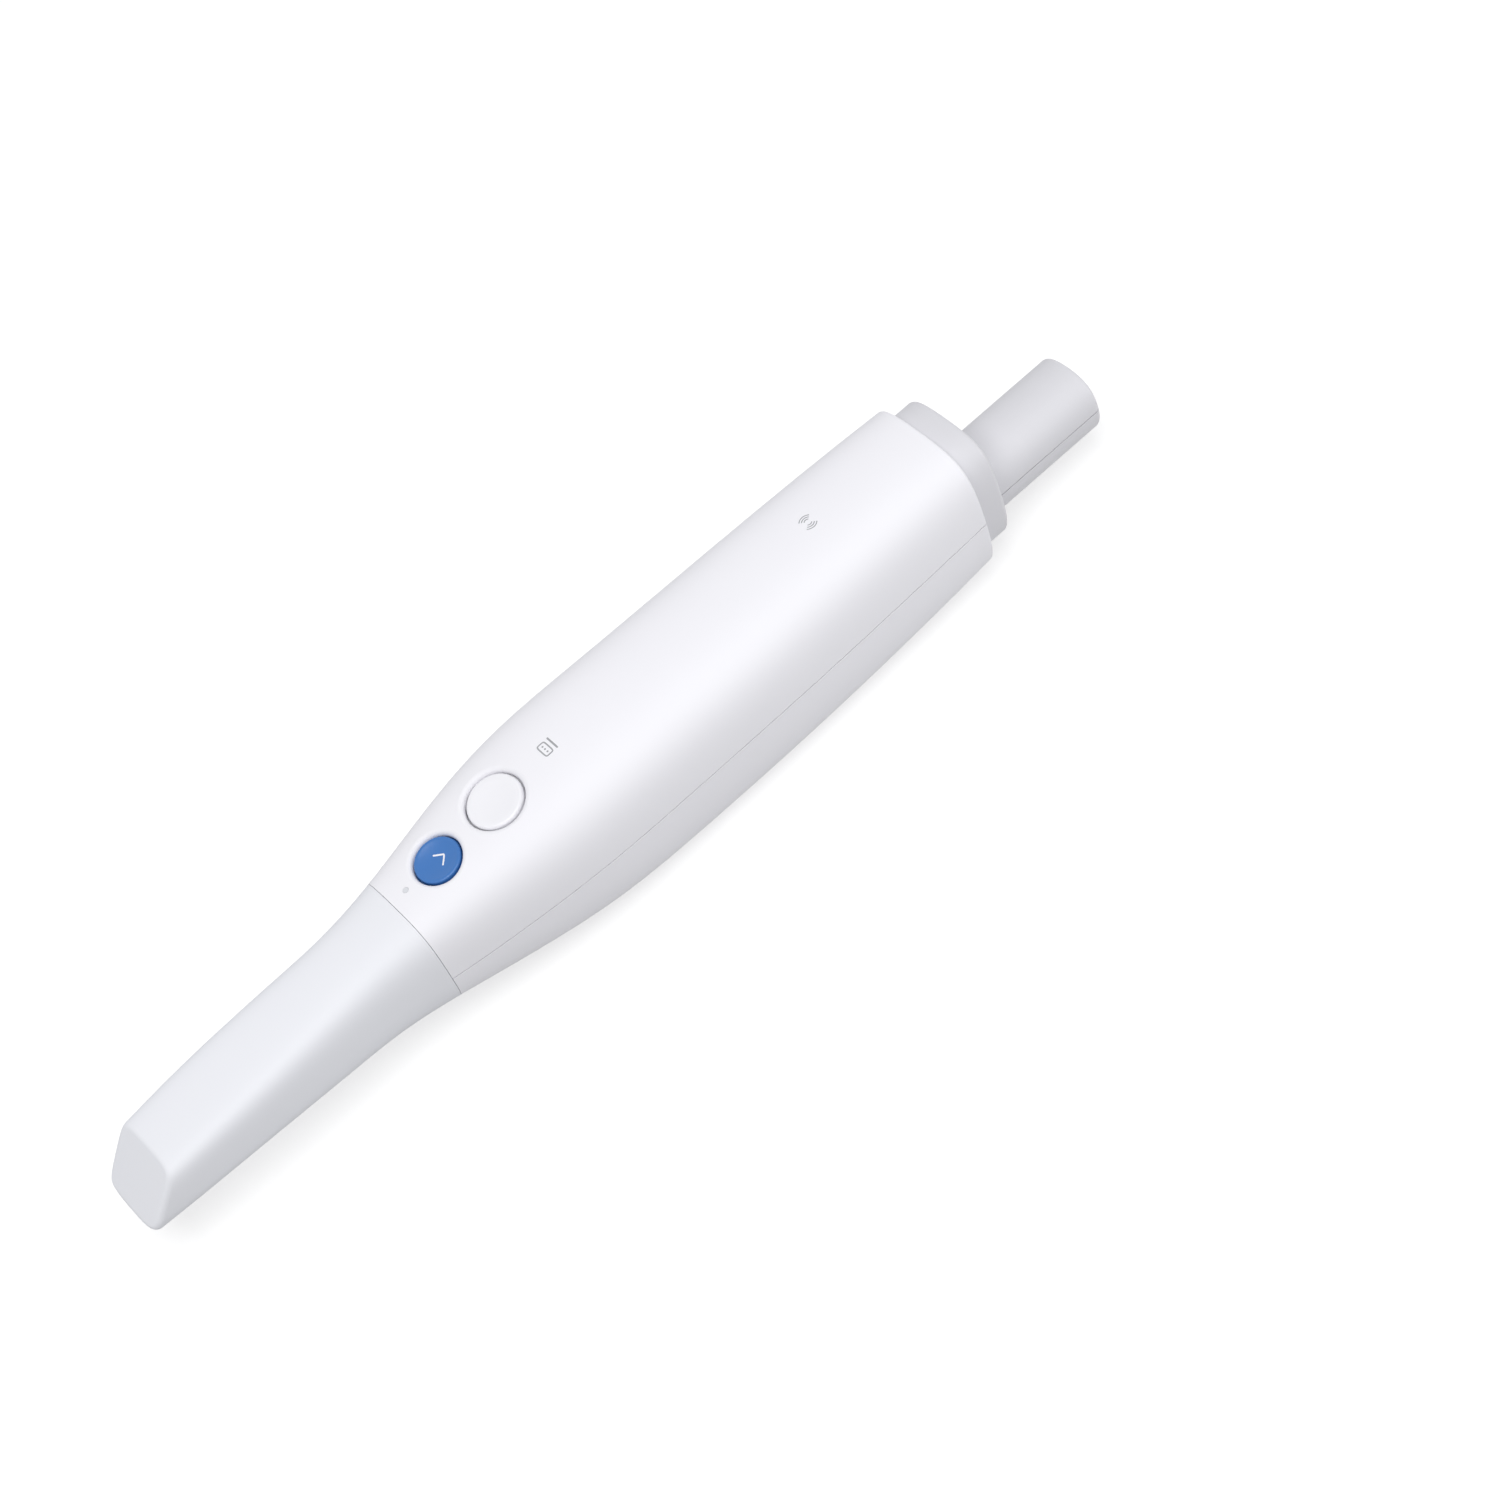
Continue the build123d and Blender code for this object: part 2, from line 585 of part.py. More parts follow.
with BuildPart() as battery_board:
    with BuildSketch(across(battery_front + BATTERY_WALL, battery_z)):
        Circle(case_bore - FIT)
    extrude(amount=BATTERY_BOARD)
battery_board.part.label = "battery_board"

with BuildPart() as battery_cell:
    with BuildSketch(across(cell_front, battery_z)):
        Circle(CELL_RADIUS)
    extrude(amount=CELL_LENGTH)
    fillet(battery_cell.edges(), FIT * 5)
battery_cell.part.label = "battery_cell"

with BuildPart() as cell_spacer:
    with BuildSketch(across(cell_rear, battery_z)):
        Circle(case_bore - FIT)
        Circle(case_bore - BATTERY_WALL, mode=Mode.SUBTRACT)
    extrude(amount=BATTERY_X - BATTERY_END_WALL - cell_rear)
cell_spacer.part.label = "cell_spacer"


# Buttons: dished cap with a retaining flange and stem, over a switch on the tilted board
def button(plane, radius, hollow, edge):
    """Turned cap under the crown line of one button place."""
    upright = Plane(plane.origin, x_dir=plane.x_dir, z_dir=-plane.y_dir)
    inner = radius - 2 * edge
    bend = edge * (1 - math.sqrt(0.5))
    foot = FLANGE_DROP + FLANGE_DEPTH
    with BuildPart() as cap:
        with BuildSketch(upright):
            with BuildLine():
                dish = TangentArc((0, -BUTTON_DROP - hollow), (inner, -BUTTON_DROP), tangent=(1, 0))
                Line((inner, -BUTTON_DROP), (radius - edge, -BUTTON_DROP))
                ThreePointArc(
                    (radius - edge, -BUTTON_DROP),
                    (radius - bend, -BUTTON_DROP - bend),
                    (radius, -BUTTON_DROP - edge),
                )
                Polyline(
                    (radius, -BUTTON_DROP - edge),
                    (radius, -FLANGE_DROP),
                    (radius + FLANGE_PROUD, -FLANGE_DROP),
                    (radius + FLANGE_PROUD, -foot),
                    (STEM_RADIUS, -foot),
                    (STEM_RADIUS, -stem_end),
                    (0, -stem_end),
                    dish @ 0,
                )
            make_face()
        revolve(axis=Axis(plane.origin, plane.z_dir))
    return cap.part


def plunger(plane):
    """Switch plunger under a button stem."""
    with BuildPart() as peg:
        with BuildSketch(plane.offset(-stem_end)):
            Circle(PLUNGER_RADIUS)
        extrude(amount=-PLUNGER_LENGTH)
    return peg.part


def switch(plane):
    """Switch housing on the button board, with a bore that takes the plunger."""
    with BuildPart() as housing:
        with BuildSketch(plane.offset(-board_top)):
            Rectangle(SWITCH_SIDE, SWITCH_SIDE)
        extrude(amount=SWITCH_HEIGHT)
        with BuildSketch(plane.offset(-switch_top)):
            Circle(PLUNGER_RADIUS + FIT)
        extrude(amount=-2 * BUTTON_TRAVEL, mode=Mode.SUBTRACT)
    return housing.part


scan_button = button(scan_plane, SCAN_RADIUS, SCAN_DISH, SCAN_EDGE)
scan_button.label = "scan_button"
uv_button = button(uv_plane, UV_RADIUS, UV_DISH, UV_EDGE)
uv_button.label = "uv_button"
scan_plunger = plunger(scan_plane)
scan_plunger.label = "scan_plunger"
uv_plunger = plunger(uv_plane)
uv_plunger.label = "uv_plunger"
scan_switch = switch(scan_plane)
scan_switch.label = "scan_switch"
uv_switch = switch(uv_plane)
uv_switch.label = "uv_switch"

row_length = BUTTON_BOARD_FRONT + button_pitch + BUTTON_BOARD_REAR
with BuildPart() as button_board:
    with BuildSketch(scan_plane.offset(-board_top)):
        with Locations((row_length / 2 - BUTTON_BOARD_FRONT, 0)):
            Rectangle(row_length, BUTTON_BOARD_WIDTH)
        with Locations(*row_posts):
            Circle(SCREW_RADIUS + SCREW_PLAY, mode=Mode.SUBTRACT)
    extrude(amount=-BUTTON_BOARD)
button_board.part.label = "button_board"

board_under = scan_plane.offset(-board_top - BUTTON_BOARD)
post_planes = [Plane(board_under.from_local_coords((x, y, 0)), x_dir=row_dir, z_dir=-row_up) for x, y in row_posts]
button_board_screws = screws(post_planes, "button_board_screws")

led_depth = board_top + (light_place - scan_place).dot(row_up) - LED_HEIGHT
with BuildPart() as status_light:
    with BuildSketch(light_plane):
        Circle(LIGHT_RADIUS)
    extrude(amount=-led_depth)
status_light.part.label = "status_light"

with BuildPart() as status_led:
    with BuildSketch(light_plane.offset(-led_depth)):
        Rectangle(LED_SIDE, LED_SIDE)
    extrude(amount=-LED_HEIGHT)
status_led.part.label = "status_led"

# Optical bench: front plate with three bores, base on the bosses, standoffs for the main board
plate_rear = bench_x + FRONT_PLATE
camera_places = [(side * CAMERA_SPREAD, -CAMERA_DROP) for side in (-1, 1)]
board_low = AXIS_HEIGHT + BOARD_RISE
standoff_places = [
    (SEAM_X + along, side * STANDOFF_SPREAD) for along in (STANDOFF_FRONT, STANDOFF_REAR) for side in (-1, 1)
]

with BuildPart() as optical_bench:
    add(stretch(COVER_WALL + 6 * FIT, bench_x, plate_rear))
    split(bisect_by=Plane.XY.offset(AXIS_HEIGHT + FRONT_PLATE_TOP), keep=Keep.BOTTOM)
    with BuildSketch(Plane.XY.offset(bench_low)):
        with Locations((bench_x + BENCH_LENGTH / 2, 0)):
            Rectangle(BENCH_LENGTH, BENCH_WIDTH)
    extrude(amount=BENCH_THICKNESS)
    with BuildSketch(across(bench_x)):
        with Locations((0, PROJECTOR_RISE)):
            Circle(PROJECTOR_RADIUS + FIT / 2)
        with Locations(*camera_places):
            Circle(CAMERA_RADIUS + FIT / 2)
    extrude(amount=FRONT_PLATE, mode=Mode.SUBTRACT)
    with BuildSketch(Plane.XY.offset(bench_top)):
        with Locations(*standoff_places):
            Circle(STANDOFF_RADIUS)
    extrude(amount=board_low - bench_top)
    with BuildSketch(Plane.XY.offset(board_low)):
        with Locations(*standoff_places):
            Circle(SCREW_RADIUS + SCREW_PLAY)
    extrude(amount=BOARD_THICKNESS - SCREW_LENGTH - 2 * FIT, mode=Mode.SUBTRACT)
    with BuildSketch(Plane.XY.offset(bench_top)):
        with Locations(*boss_places):
            Circle(SCREW_RADIUS + SCREW_PLAY)
    extrude(amount=-BENCH_THICKNESS, mode=Mode.SUBTRACT)
optical_bench.part.label = "optical_bench"

bench_screws = screws([Plane((x, y, bench_top)) for x, y in boss_places], "bench_screws")


def barrel(place, radius, length):
    """Lens barrel along X through the front plate, with a bore for its lens."""
    with BuildPart() as tube:
        with BuildSketch(across(bench_x - BARREL_REACH)):
            with Locations(place):
                Circle(radius)
                Circle(radius - BARREL_WALL, mode=Mode.SUBTRACT)
        extrude(amount=length)
    return tube.part


def lens(place, radius):
    """Lens with a domed front, just behind the mouth of its barrel."""
    rim = radius - BARREL_WALL - FIT / 2
    with BuildPart() as glass:
        with BuildSketch(across(bench_x - BARREL_REACH + LENS_THICKNESS)):
            with Locations(place):
                Circle(rim)
        extrude(amount=LENS_THICKNESS)
        fillet(glass.faces().sort_by(Axis.X)[0].edges(), LENS_THICKNESS / 2)
    return glass.part


projector_place = (0, PROJECTOR_RISE)
engine_x = plate_rear + BARREL_FLANGE + BARREL_LENGTH

with BuildPart() as projector_barrel:
    add(barrel(projector_place, PROJECTOR_RADIUS, engine_x - bench_x + BARREL_REACH))
    with BuildSketch(across(plate_rear)):
        with Locations(projector_place):
            Circle(PROJECTOR_RADIUS + BARREL_FLANGE_PROUD)
            Circle(PROJECTOR_RADIUS - BARREL_WALL / 2, mode=Mode.SUBTRACT)
    extrude(amount=BARREL_FLANGE)
projector_barrel.part.label = "projector_barrel"
projector_lens = lens(projector_place, PROJECTOR_RADIUS)
projector_lens.label = "projector_lens"

cameras = []
for name, place in zip(("left", "right"), camera_places):
    with BuildPart() as camera:
        add(barrel(place, CAMERA_RADIUS, BARREL_REACH + FRONT_PLATE + 1))
        with BuildSketch(across(plate_rear)):
            with Locations((place[0], CAMERA_HEIGHT / 2 - BENCH_DROP)):
                Rectangle(CAMERA_WIDTH, CAMERA_HEIGHT)
        extrude(amount=CAMERA_LENGTH)
    camera.part.label = name + "_camera"
    with BuildPart() as sensor_board:
        with BuildSketch(across(plate_rear + CAMERA_LENGTH)):
            with Locations((place[0], CAMERA_HEIGHT / 2 - BENCH_DROP)):
                Rectangle(CAMERA_WIDTH, CAMERA_HEIGHT)
        extrude(amount=SENSOR_BOARD)
    sensor_board.part.label = name + "_sensor_board"
    camera_lens = lens(place, CAMERA_RADIUS)
    camera_lens.label = name + "_camera_lens"
    cameras += [camera.part, sensor_board.part, camera_lens]

with BuildPart() as light_engine:
    with BuildSketch(Plane.XY.offset(bench_top)):
        with Locations((engine_x + ENGINE_LENGTH / 2, 0)):
            RectangleRounded(ENGINE_LENGTH, ENGINE_WIDTH, 1)
    extrude(amount=ENGINE_HEIGHT)
light_engine.part.label = "light_engine"

sink_x = engine_x + ENGINE_LENGTH
fin_pitch = (SINK_WIDTH - FIN_THICKNESS) / (FIN_COUNT - 1)
with BuildPart() as heat_sink:
    with BuildSketch(Plane.XY.offset(bench_top)):
        with Locations((sink_x + SINK_BASE / 2, 0)):
            Rectangle(SINK_BASE, SINK_WIDTH)
        with Locations((sink_x + SINK_LENGTH / 2, 0)):
            with GridLocations(0, fin_pitch, 1, FIN_COUNT):
                Rectangle(SINK_LENGTH, FIN_THICKNESS)
    extrude(amount=SINK_HEIGHT)
heat_sink.part.label = "heat_sink"

# Main board on the standoffs, with the processor under a shield and the radio at the rear
board_x = SEAM_X + BOARD_SETBACK
board_high = board_low + BOARD_THICKNESS
with BuildPart() as main_board:
    with BuildSketch(Plane.XY.offset(board_low)):
        with Locations((board_x + BOARD_LENGTH / 2, 0)):
            RectangleRounded(BOARD_LENGTH, BOARD_WIDTH, 2)
        with Locations(*standoff_places):
            Circle(SCREW_RADIUS + SCREW_PLAY, mode=Mode.SUBTRACT)
    extrude(amount=BOARD_THICKNESS)
main_board.part.label = "main_board"
main_board_screws = screws([Plane((x, y, board_high)) for x, y in standoff_places], "main_board_screws")

shield_x = SEAM_X + (STANDOFF_FRONT + STANDOFF_REAR) / 2
with BuildPart() as processor_shield:
    with BuildSketch(Plane.XY.offset(board_high)):
        with Locations((shield_x, 0)):
            RectangleRounded(SHIELD_LENGTH, SHIELD_WIDTH, 1)
    extrude(amount=SHIELD_HEIGHT)
    with BuildSketch(Plane.XY.offset(board_high)):
        with Locations((shield_x, 0)):
            Rectangle(SHIELD_LENGTH - 2 * SHIELD_WALL, SHIELD_WIDTH - 2 * SHIELD_WALL)
    extrude(amount=SHIELD_HEIGHT - SHIELD_WALL, mode=Mode.SUBTRACT)
processor_shield.part.label = "processor_shield"

with BuildPart() as wireless_module:
    with BuildSketch(Plane.XY.offset(board_high)):
        with Locations((board_x + BOARD_LENGTH - RADIO_LENGTH / 2 - 2, 0)):
            RectangleRounded(RADIO_LENGTH, RADIO_WIDTH, 1)
    extrude(amount=RADIO_HEIGHT)
wireless_module.part.label = "wireless_module"

# One file for each piece, named by its label
pieces = [
    scan_tip.part,
    tip_mirror.part,
    nose.part,
    nose_window.part,
    nose_seal.part,
    upper_cover.part,
    lower_cover.part,
    rear_collar.part,
    battery_sleeve.part,
    contact_board.part,
    contact_pins.part,
    battery_upper_shell,
    battery_lower_shell,
    battery_contacts.part,
    battery_board.part,
    battery_cell.part,
    cell_spacer.part,
    scan_button,
    uv_button,
    scan_plunger,
    uv_plunger,
    scan_switch,
    uv_switch,
    button_board.part,
    button_board_screws,
    status_light.part,
    status_led.part,
    optical_bench.part,
    bench_screws,
    projector_barrel.part,
    projector_lens,
    light_engine.part,
    heat_sink.part,
    main_board.part,
    main_board_screws,
    processor_shield.part,
    wireless_module.part,
]
os.makedirs("parts", exist_ok=True)
for piece in pieces + cameras:
    export_step(piece, "parts/" + piece.label + ".step")
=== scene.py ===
"""Looks of a wireless intraoral scanner: finishes, printed signs, floor, lamps and camera."""
import json

import bpy
import numpy as np
from mathutils import Matrix


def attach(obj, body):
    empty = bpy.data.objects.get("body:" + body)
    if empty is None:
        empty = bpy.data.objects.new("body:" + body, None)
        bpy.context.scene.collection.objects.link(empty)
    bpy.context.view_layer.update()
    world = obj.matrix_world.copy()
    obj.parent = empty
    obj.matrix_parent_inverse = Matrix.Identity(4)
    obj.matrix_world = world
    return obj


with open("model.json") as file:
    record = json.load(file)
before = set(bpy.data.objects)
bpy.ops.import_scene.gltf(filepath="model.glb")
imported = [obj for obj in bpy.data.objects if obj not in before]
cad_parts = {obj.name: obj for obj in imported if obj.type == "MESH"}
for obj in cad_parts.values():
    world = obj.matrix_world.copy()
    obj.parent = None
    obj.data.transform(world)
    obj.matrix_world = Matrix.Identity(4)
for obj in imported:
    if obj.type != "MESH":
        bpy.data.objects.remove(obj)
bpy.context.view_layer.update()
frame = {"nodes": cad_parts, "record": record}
MM = 0.001


# Shader groups that several finishes share

FLOW_SIZE = 18 * MM
GRAIN_SIZE = 0.45 * MM
GRAIN_BUMP = 0.004 * MM
LINE_SIZE = 0.3 * MM
LINE_STRETCH = 0.06
LINE_BUMP = 0.006 * MM
TARNISH_SIZE = 12 * MM
NET_SCALE = 260
TRACK_SHARE = 0.06
TRACK_BUMP = 0.03 * MM
PAD_SCALE = 330
PAD_REACH = 0.17
MASK_ROUGH = 0.45
PAD_ROUGH = 0.28
BUMP_STRENGTH = 0.25
SKIN_OUTPUTS = (
    ("Colour", "NodeSocketColor"),
    ("Roughness", "NodeSocketFloat"),
    ("Height", "NodeSocketFloat"),
)


def new_group(name, inputs):
    """Empty shader group that puts out a skin, with its input node and its output node."""
    group = bpy.data.node_groups.new(name, "ShaderNodeTree")
    for label, kind, value in inputs:
        socket = group.interface.new_socket(label, in_out="INPUT", socket_type=kind)
        socket.default_value = value
    for label, kind in SKIN_OUTPUTS:
        group.interface.new_socket(label, in_out="OUTPUT", socket_type=kind)
    return group, group.nodes.new("NodeGroupInput"), group.nodes.new("NodeGroupOutput")


def put(tree, kind, **values):
    """New node with its properties set by name."""
    node = tree.nodes.new(kind)
    for name, value in values.items():
        setattr(node, name, value)
    return node


def noise(tree, place, size, detail):
    """Noise texture whose lumps are about the given size in metres."""
    node = put(tree, "ShaderNodeTexNoise")
    node.inputs["Scale"].default_value = 1 / size
    node.inputs["Detail"].default_value = detail
    tree.links.new(place, node.inputs["Vector"])
    return node.outputs["Fac"]


def ranged(tree, value, low, high):
    """Map 0..1 to a range given by two sockets or numbers."""
    node = put(tree, "ShaderNodeMapRange")
    tree.links.new(value, node.inputs["Value"])
    for name, end in (("To Min", low), ("To Max", high)):
        if isinstance(end, (int, float)):
            node.inputs[name].default_value = end
        else:
            tree.links.new(end, node.inputs[name])
    return node.outputs["Result"]


def mixed(tree, share, first, second):
    """Colour between two colour sockets by a share."""
    node = put(tree, "ShaderNodeMix", data_type="RGBA")
    tree.links.new(share, node.inputs["Factor"])
    tree.links.new(first, node.inputs["A"])
    tree.links.new(second, node.inputs["B"])
    return node.outputs["Result"]


def moulded_group():
    """Moulded skin: broad clouds shift the tone, fine grain shifts the height and the roughness."""
    group, given, out = new_group(
        "moulded_skin",
        [
            ("Colour", "NodeSocketColor", (0.9, 0.9, 0.9, 1)),
            ("Flow Colour", "NodeSocketColor", (0.88, 0.88, 0.88, 1)),
            ("Smooth", "NodeSocketFloat", 0.3),
            ("Rough", "NodeSocketFloat", 0.4),
        ],
    )
    place = put(group, "ShaderNodeTexCoord").outputs["Object"]
    flow = noise(group, place, FLOW_SIZE, 2.0)
    grain = noise(group, place, GRAIN_SIZE, 3.0)
    tone = mixed(group, flow, given.outputs["Colour"], given.outputs["Flow Colour"])
    group.links.new(tone, out.inputs["Colour"])
    rough = ranged(group, grain, given.outputs["Smooth"], given.outputs["Rough"])
    group.links.new(rough, out.inputs["Roughness"])
    group.links.new(grain, out.inputs["Height"])
    return group


def metal_group():
    """Worked metal: lines drawn out along the length by a stretched noise, with broad tarnish."""
    group, given, out = new_group(
        "worked_metal",
        [
            ("Colour", "NodeSocketColor", (0.6, 0.6, 0.6, 1)),
            ("Tarnish", "NodeSocketColor", (0.5, 0.5, 0.5, 1)),
            ("Smooth", "NodeSocketFloat", 0.25),
            ("Rough", "NodeSocketFloat", 0.45),
        ],
    )
    place = put(group, "ShaderNodeTexCoord").outputs["Object"]
    stretch = put(group, "ShaderNodeMapping")
    stretch.inputs["Scale"].default_value = (LINE_STRETCH, 1, 1)
    group.links.new(place, stretch.inputs["Vector"])
    lines = noise(group, stretch.outputs["Vector"], LINE_SIZE, 2.0)
    cloud = noise(group, place, TARNISH_SIZE, 2.0)
    tone = mixed(group, cloud, given.outputs["Colour"], given.outputs["Tarnish"])
    group.links.new(tone, out.inputs["Colour"])
    rough = ranged(group, lines, given.outputs["Smooth"], given.outputs["Rough"])
    group.links.new(rough, out.inputs["Roughness"])
    group.links.new(lines, out.inputs["Height"])
    return group


def board_group():
    """Circuit board: solder mask over a net of tracks, with bare square pads scattered over it."""
    group, given, out = new_group(
        "circuit_board",
        [
            ("Mask", "NodeSocketColor", (0.02, 0.15, 0.07, 1)),
            ("Track", "NodeSocketColor", (0.05, 0.28, 0.13, 1)),
            ("Pad", "NodeSocketColor", (0.7, 0.55, 0.25, 1)),
        ],
    )
    place = put(group, "ShaderNodeTexCoord").outputs["Object"]
    net = put(group, "ShaderNodeTexBrick", offset=0.35, offset_frequency=3)
    net.inputs["Scale"].default_value = NET_SCALE
    net.inputs["Mortar Size"].default_value = TRACK_SHARE
    group.links.new(place, net.inputs["Vector"])
    pads = put(group, "ShaderNodeTexVoronoi", feature="F1", distance="CHEBYCHEV")
    pads.inputs["Scale"].default_value = PAD_SCALE
    group.links.new(place, pads.inputs["Vector"])
    pad_mask = put(group, "ShaderNodeMath", operation="LESS_THAN")
    pad_mask.inputs[1].default_value = PAD_REACH
    group.links.new(pads.outputs["Distance"], pad_mask.inputs[0])
    tracks = mixed(group, net.outputs["Fac"], given.outputs["Mask"], given.outputs["Track"])
    tone = mixed(group, pad_mask.outputs[0], tracks, given.outputs["Pad"])
    group.links.new(tone, out.inputs["Colour"])
    rough = ranged(group, pad_mask.outputs[0], MASK_ROUGH, PAD_ROUGH)
    group.links.new(rough, out.inputs["Roughness"])
    group.links.new(net.outputs["Fac"], out.inputs["Height"])
    return group


MOULDED = moulded_group()
METAL = metal_group()
BOARD = board_group()


def finish_of(name, group, values, bump, **shader):
    """Material of one shader whose colour, roughness and bump come from a group."""
    material = bpy.data.materials.new(name)
    material.use_nodes = True
    tree = material.node_tree
    bsdf = tree.nodes["Principled BSDF"]
    for label, value in shader.items():
        bsdf.inputs[label.replace("_", " ")].default_value = value
    skin = put(tree, "ShaderNodeGroup", node_tree=group)
    for label, value in values.items():
        skin.inputs[label].default_value = value
    tree.links.new(skin.outputs["Colour"], bsdf.inputs["Base Color"])
    tree.links.new(skin.outputs["Roughness"], bsdf.inputs["Roughness"])
    lift = put(tree, "ShaderNodeBump")
    lift.inputs["Strength"].default_value = BUMP_STRENGTH
    lift.inputs["Distance"].default_value = bump
    tree.links.new(skin.outputs["Height"], lift.inputs["Height"])
    tree.links.new(lift.outputs["Normal"], bsdf.inputs["Normal"])
    return material


def moulded(name, colour, flow, smooth, rough, bump=GRAIN_BUMP, **shader):
    """Moulded plastic of a colour that drifts towards a second one."""
    values = {"Colour": (*colour, 1), "Flow Colour": (*flow, 1), "Smooth": smooth, "Rough": rough}
    return finish_of(name, MOULDED, values, bump, **shader)


def metal(name, colour, tarnish, smooth, rough):
    """Bare metal with drawn lines."""
    values = {"Colour": (*colour, 1), "Tarnish": (*tarnish, 1), "Smooth": smooth, "Rough": rough}
    return finish_of(name, METAL, values, LINE_BUMP, Metallic=1.0)


COVER_WHITE = (0.91, 0.903, 0.937)
COVER_FLOW = (0.90, 0.893, 0.93)
TIP_WHITE = (0.858, 0.864, 0.901)
TIP_FLOW = (0.847, 0.854, 0.893)
BATTERY_WHITE = (0.715, 0.71, 0.74)
BATTERY_FLOW = (0.705, 0.70, 0.733)
BLACK = (0.02, 0.02, 0.022)

FINISHES = {
    "cover_white": moulded(
        "cover_white", COVER_WHITE, COVER_FLOW, 0.54, 0.62, Specular_IOR_Level=0.25
    ),
    "tip_white": moulded("tip_white", TIP_WHITE, TIP_FLOW, 0.54, 0.62, Specular_IOR_Level=0.2),
    "button_white": moulded(
        "button_white", (0.905, 0.90, 0.93), (0.895, 0.89, 0.925), 0.30, 0.34, 0.0012 * MM
    ),
    "button_blue": moulded(
        "button_blue", (0.04, 0.168, 0.475), (0.045, 0.18, 0.50), 0.26, 0.34, 0.002 * MM
    ),
    "battery_white": moulded(
        "battery_white", BATTERY_WHITE, BATTERY_FLOW, 0.44, 0.54, Specular_IOR_Level=0.4
    ),
    "light_guide": moulded("light_guide", (0.74, 0.75, 0.78), (0.71, 0.725, 0.76), 0.2, 0.28),
    "seal_rubber": moulded("seal_rubber", BLACK, (0.03, 0.03, 0.032), 0.55, 0.75, 0.02 * MM),
    "black_plastic": moulded("black_plastic", BLACK, (0.028, 0.028, 0.03), 0.40, 0.55, 0.01 * MM),
    "nose_grey": moulded(
        "nose_grey", (0.16, 0.165, 0.175), (0.14, 0.145, 0.155), 0.38, 0.5, 0.01 * MM
    ),
    "black_metal": moulded("black_metal", BLACK, (0.026, 0.026, 0.028), 0.42, 0.58, 0.01 * MM),
    "cell_wrap": moulded("cell_wrap", (0.03, 0.16, 0.28), (0.04, 0.19, 0.32), 0.18, 0.26),
    "mirror": metal("mirror", (0.92, 0.93, 0.94), (0.90, 0.91, 0.93), 0.02, 0.04),
    "bench_metal": metal("bench_metal", (0.62, 0.63, 0.65), (0.54, 0.55, 0.57), 0.28, 0.46),
    "steel": metal("steel", (0.60, 0.60, 0.61), (0.52, 0.52, 0.54), 0.22, 0.38),
    "contact_brass": metal("contact_brass", (0.83, 0.63, 0.28), (0.74, 0.53, 0.22), 0.16, 0.30),
    "board_green": finish_of("board_green", BOARD, {}, TRACK_BUMP),
    "glass": moulded(
        "glass",
        (0.90, 0.95, 0.96),
        (0.86, 0.92, 0.95),
        0.01,
        0.03,
        0.0005 * MM,
        Transmission_Weight=1.0,
        IOR=1.5,
    ),
}

for subpart in frame["record"]["subparts"]:
    node = frame["nodes"][subpart["node"]]
    node.data.materials.clear()
    node.data.materials.append(FINISHES[subpart["material_slot"]])


# Printed signs: the film of ink in metres, the drawings in millimetres and degrees

INK = 0.03 * MM
WELD_REACH = 0.002 * MM
ABOVE_PART = 60.0
LIGHT_SIGN = (-13.4, 0.0)
LIGHT_FRAME = (1.15, 2.0)
FRAME_POWER = 6
FRAME_LINE = 0.36
LIGHT_DOTS = (-1, 0, 1)
DOT_REACH = 0.25
BAR_AHEAD = 2.35
BAR_REACH = 2.2
BAR_LINE = 0.5
WAVE_SIGN = (72.9, 0.0)
WAVE_RADII = (0.95, 1.6, 2.25)
WAVE_OPENING = 50
WAVE_LINE = 0.26
PRESS_SIGN = (-47.85, 0.0)
PRESS_LINE = 0.45
SIGN_GREY = moulded("sign_grey", (0.36, 0.365, 0.38), (0.34, 0.345, 0.36), 0.42, 0.52)


def surface(name, grids, loops):
    """Mesh of quads over grids of points; a looped grid joins its last row to its first."""
    corners, faces, start = [], [], 0
    for grid, loop in zip(grids, loops):
        index = start + np.arange(grid.shape[0] * grid.shape[1]).reshape(grid.shape[:2])
        if loop:
            index = np.vstack([index, index[:1]])
        quads = [index[:-1, :-1], index[1:, :-1], index[1:, 1:], index[:-1, 1:]]
        faces.append(np.stack(quads, -1).reshape(-1, 4))
        corners.append(grid.reshape(-1, 3))
        start += grid.shape[0] * grid.shape[1]
    mesh = bpy.data.meshes.new(name)
    mesh.from_pydata(np.concatenate(corners).tolist(), [], np.concatenate(faces).tolist())
    piece = bpy.data.objects.new(name, mesh)
    bpy.context.collection.objects.link(piece)
    return piece


def stroke(path, width, loop=False):
    """Flat ribbon along a path: a point at length s and share w lies at path(s) + w b(s) n(s).

    n is the path's left normal and b the half width. On an open path b follows a circle over the
    last stretch at each end, so that the ends are round.
    """
    if loop:
        ahead = np.roll(path, -1, axis=0) - np.roll(path, 1, axis=0)
        half = np.full(len(path), width / 2)
    else:
        ahead = np.gradient(path, axis=0)
        walked = np.concatenate([[0], np.cumsum(np.linalg.norm(np.diff(path, axis=0), axis=1))])
        inward = np.clip(1 - np.minimum(walked, walked[-1] - walked) / (width / 2), 0, 1)
        half = width / 2 * np.sqrt(1 - inward ** 2)
    ahead /= np.linalg.norm(ahead, axis=1, keepdims=True)
    left = np.stack([-ahead[:, 1], ahead[:, 0]], -1)
    across = np.linspace(-1, 1, 5)
    flat = path[:, None] + across[None, :, None] * (half[:, None] * left)[:, None]
    return np.concatenate([flat, np.full(flat.shape[:2] + (1,), ABOVE_PART)], -1) * MM


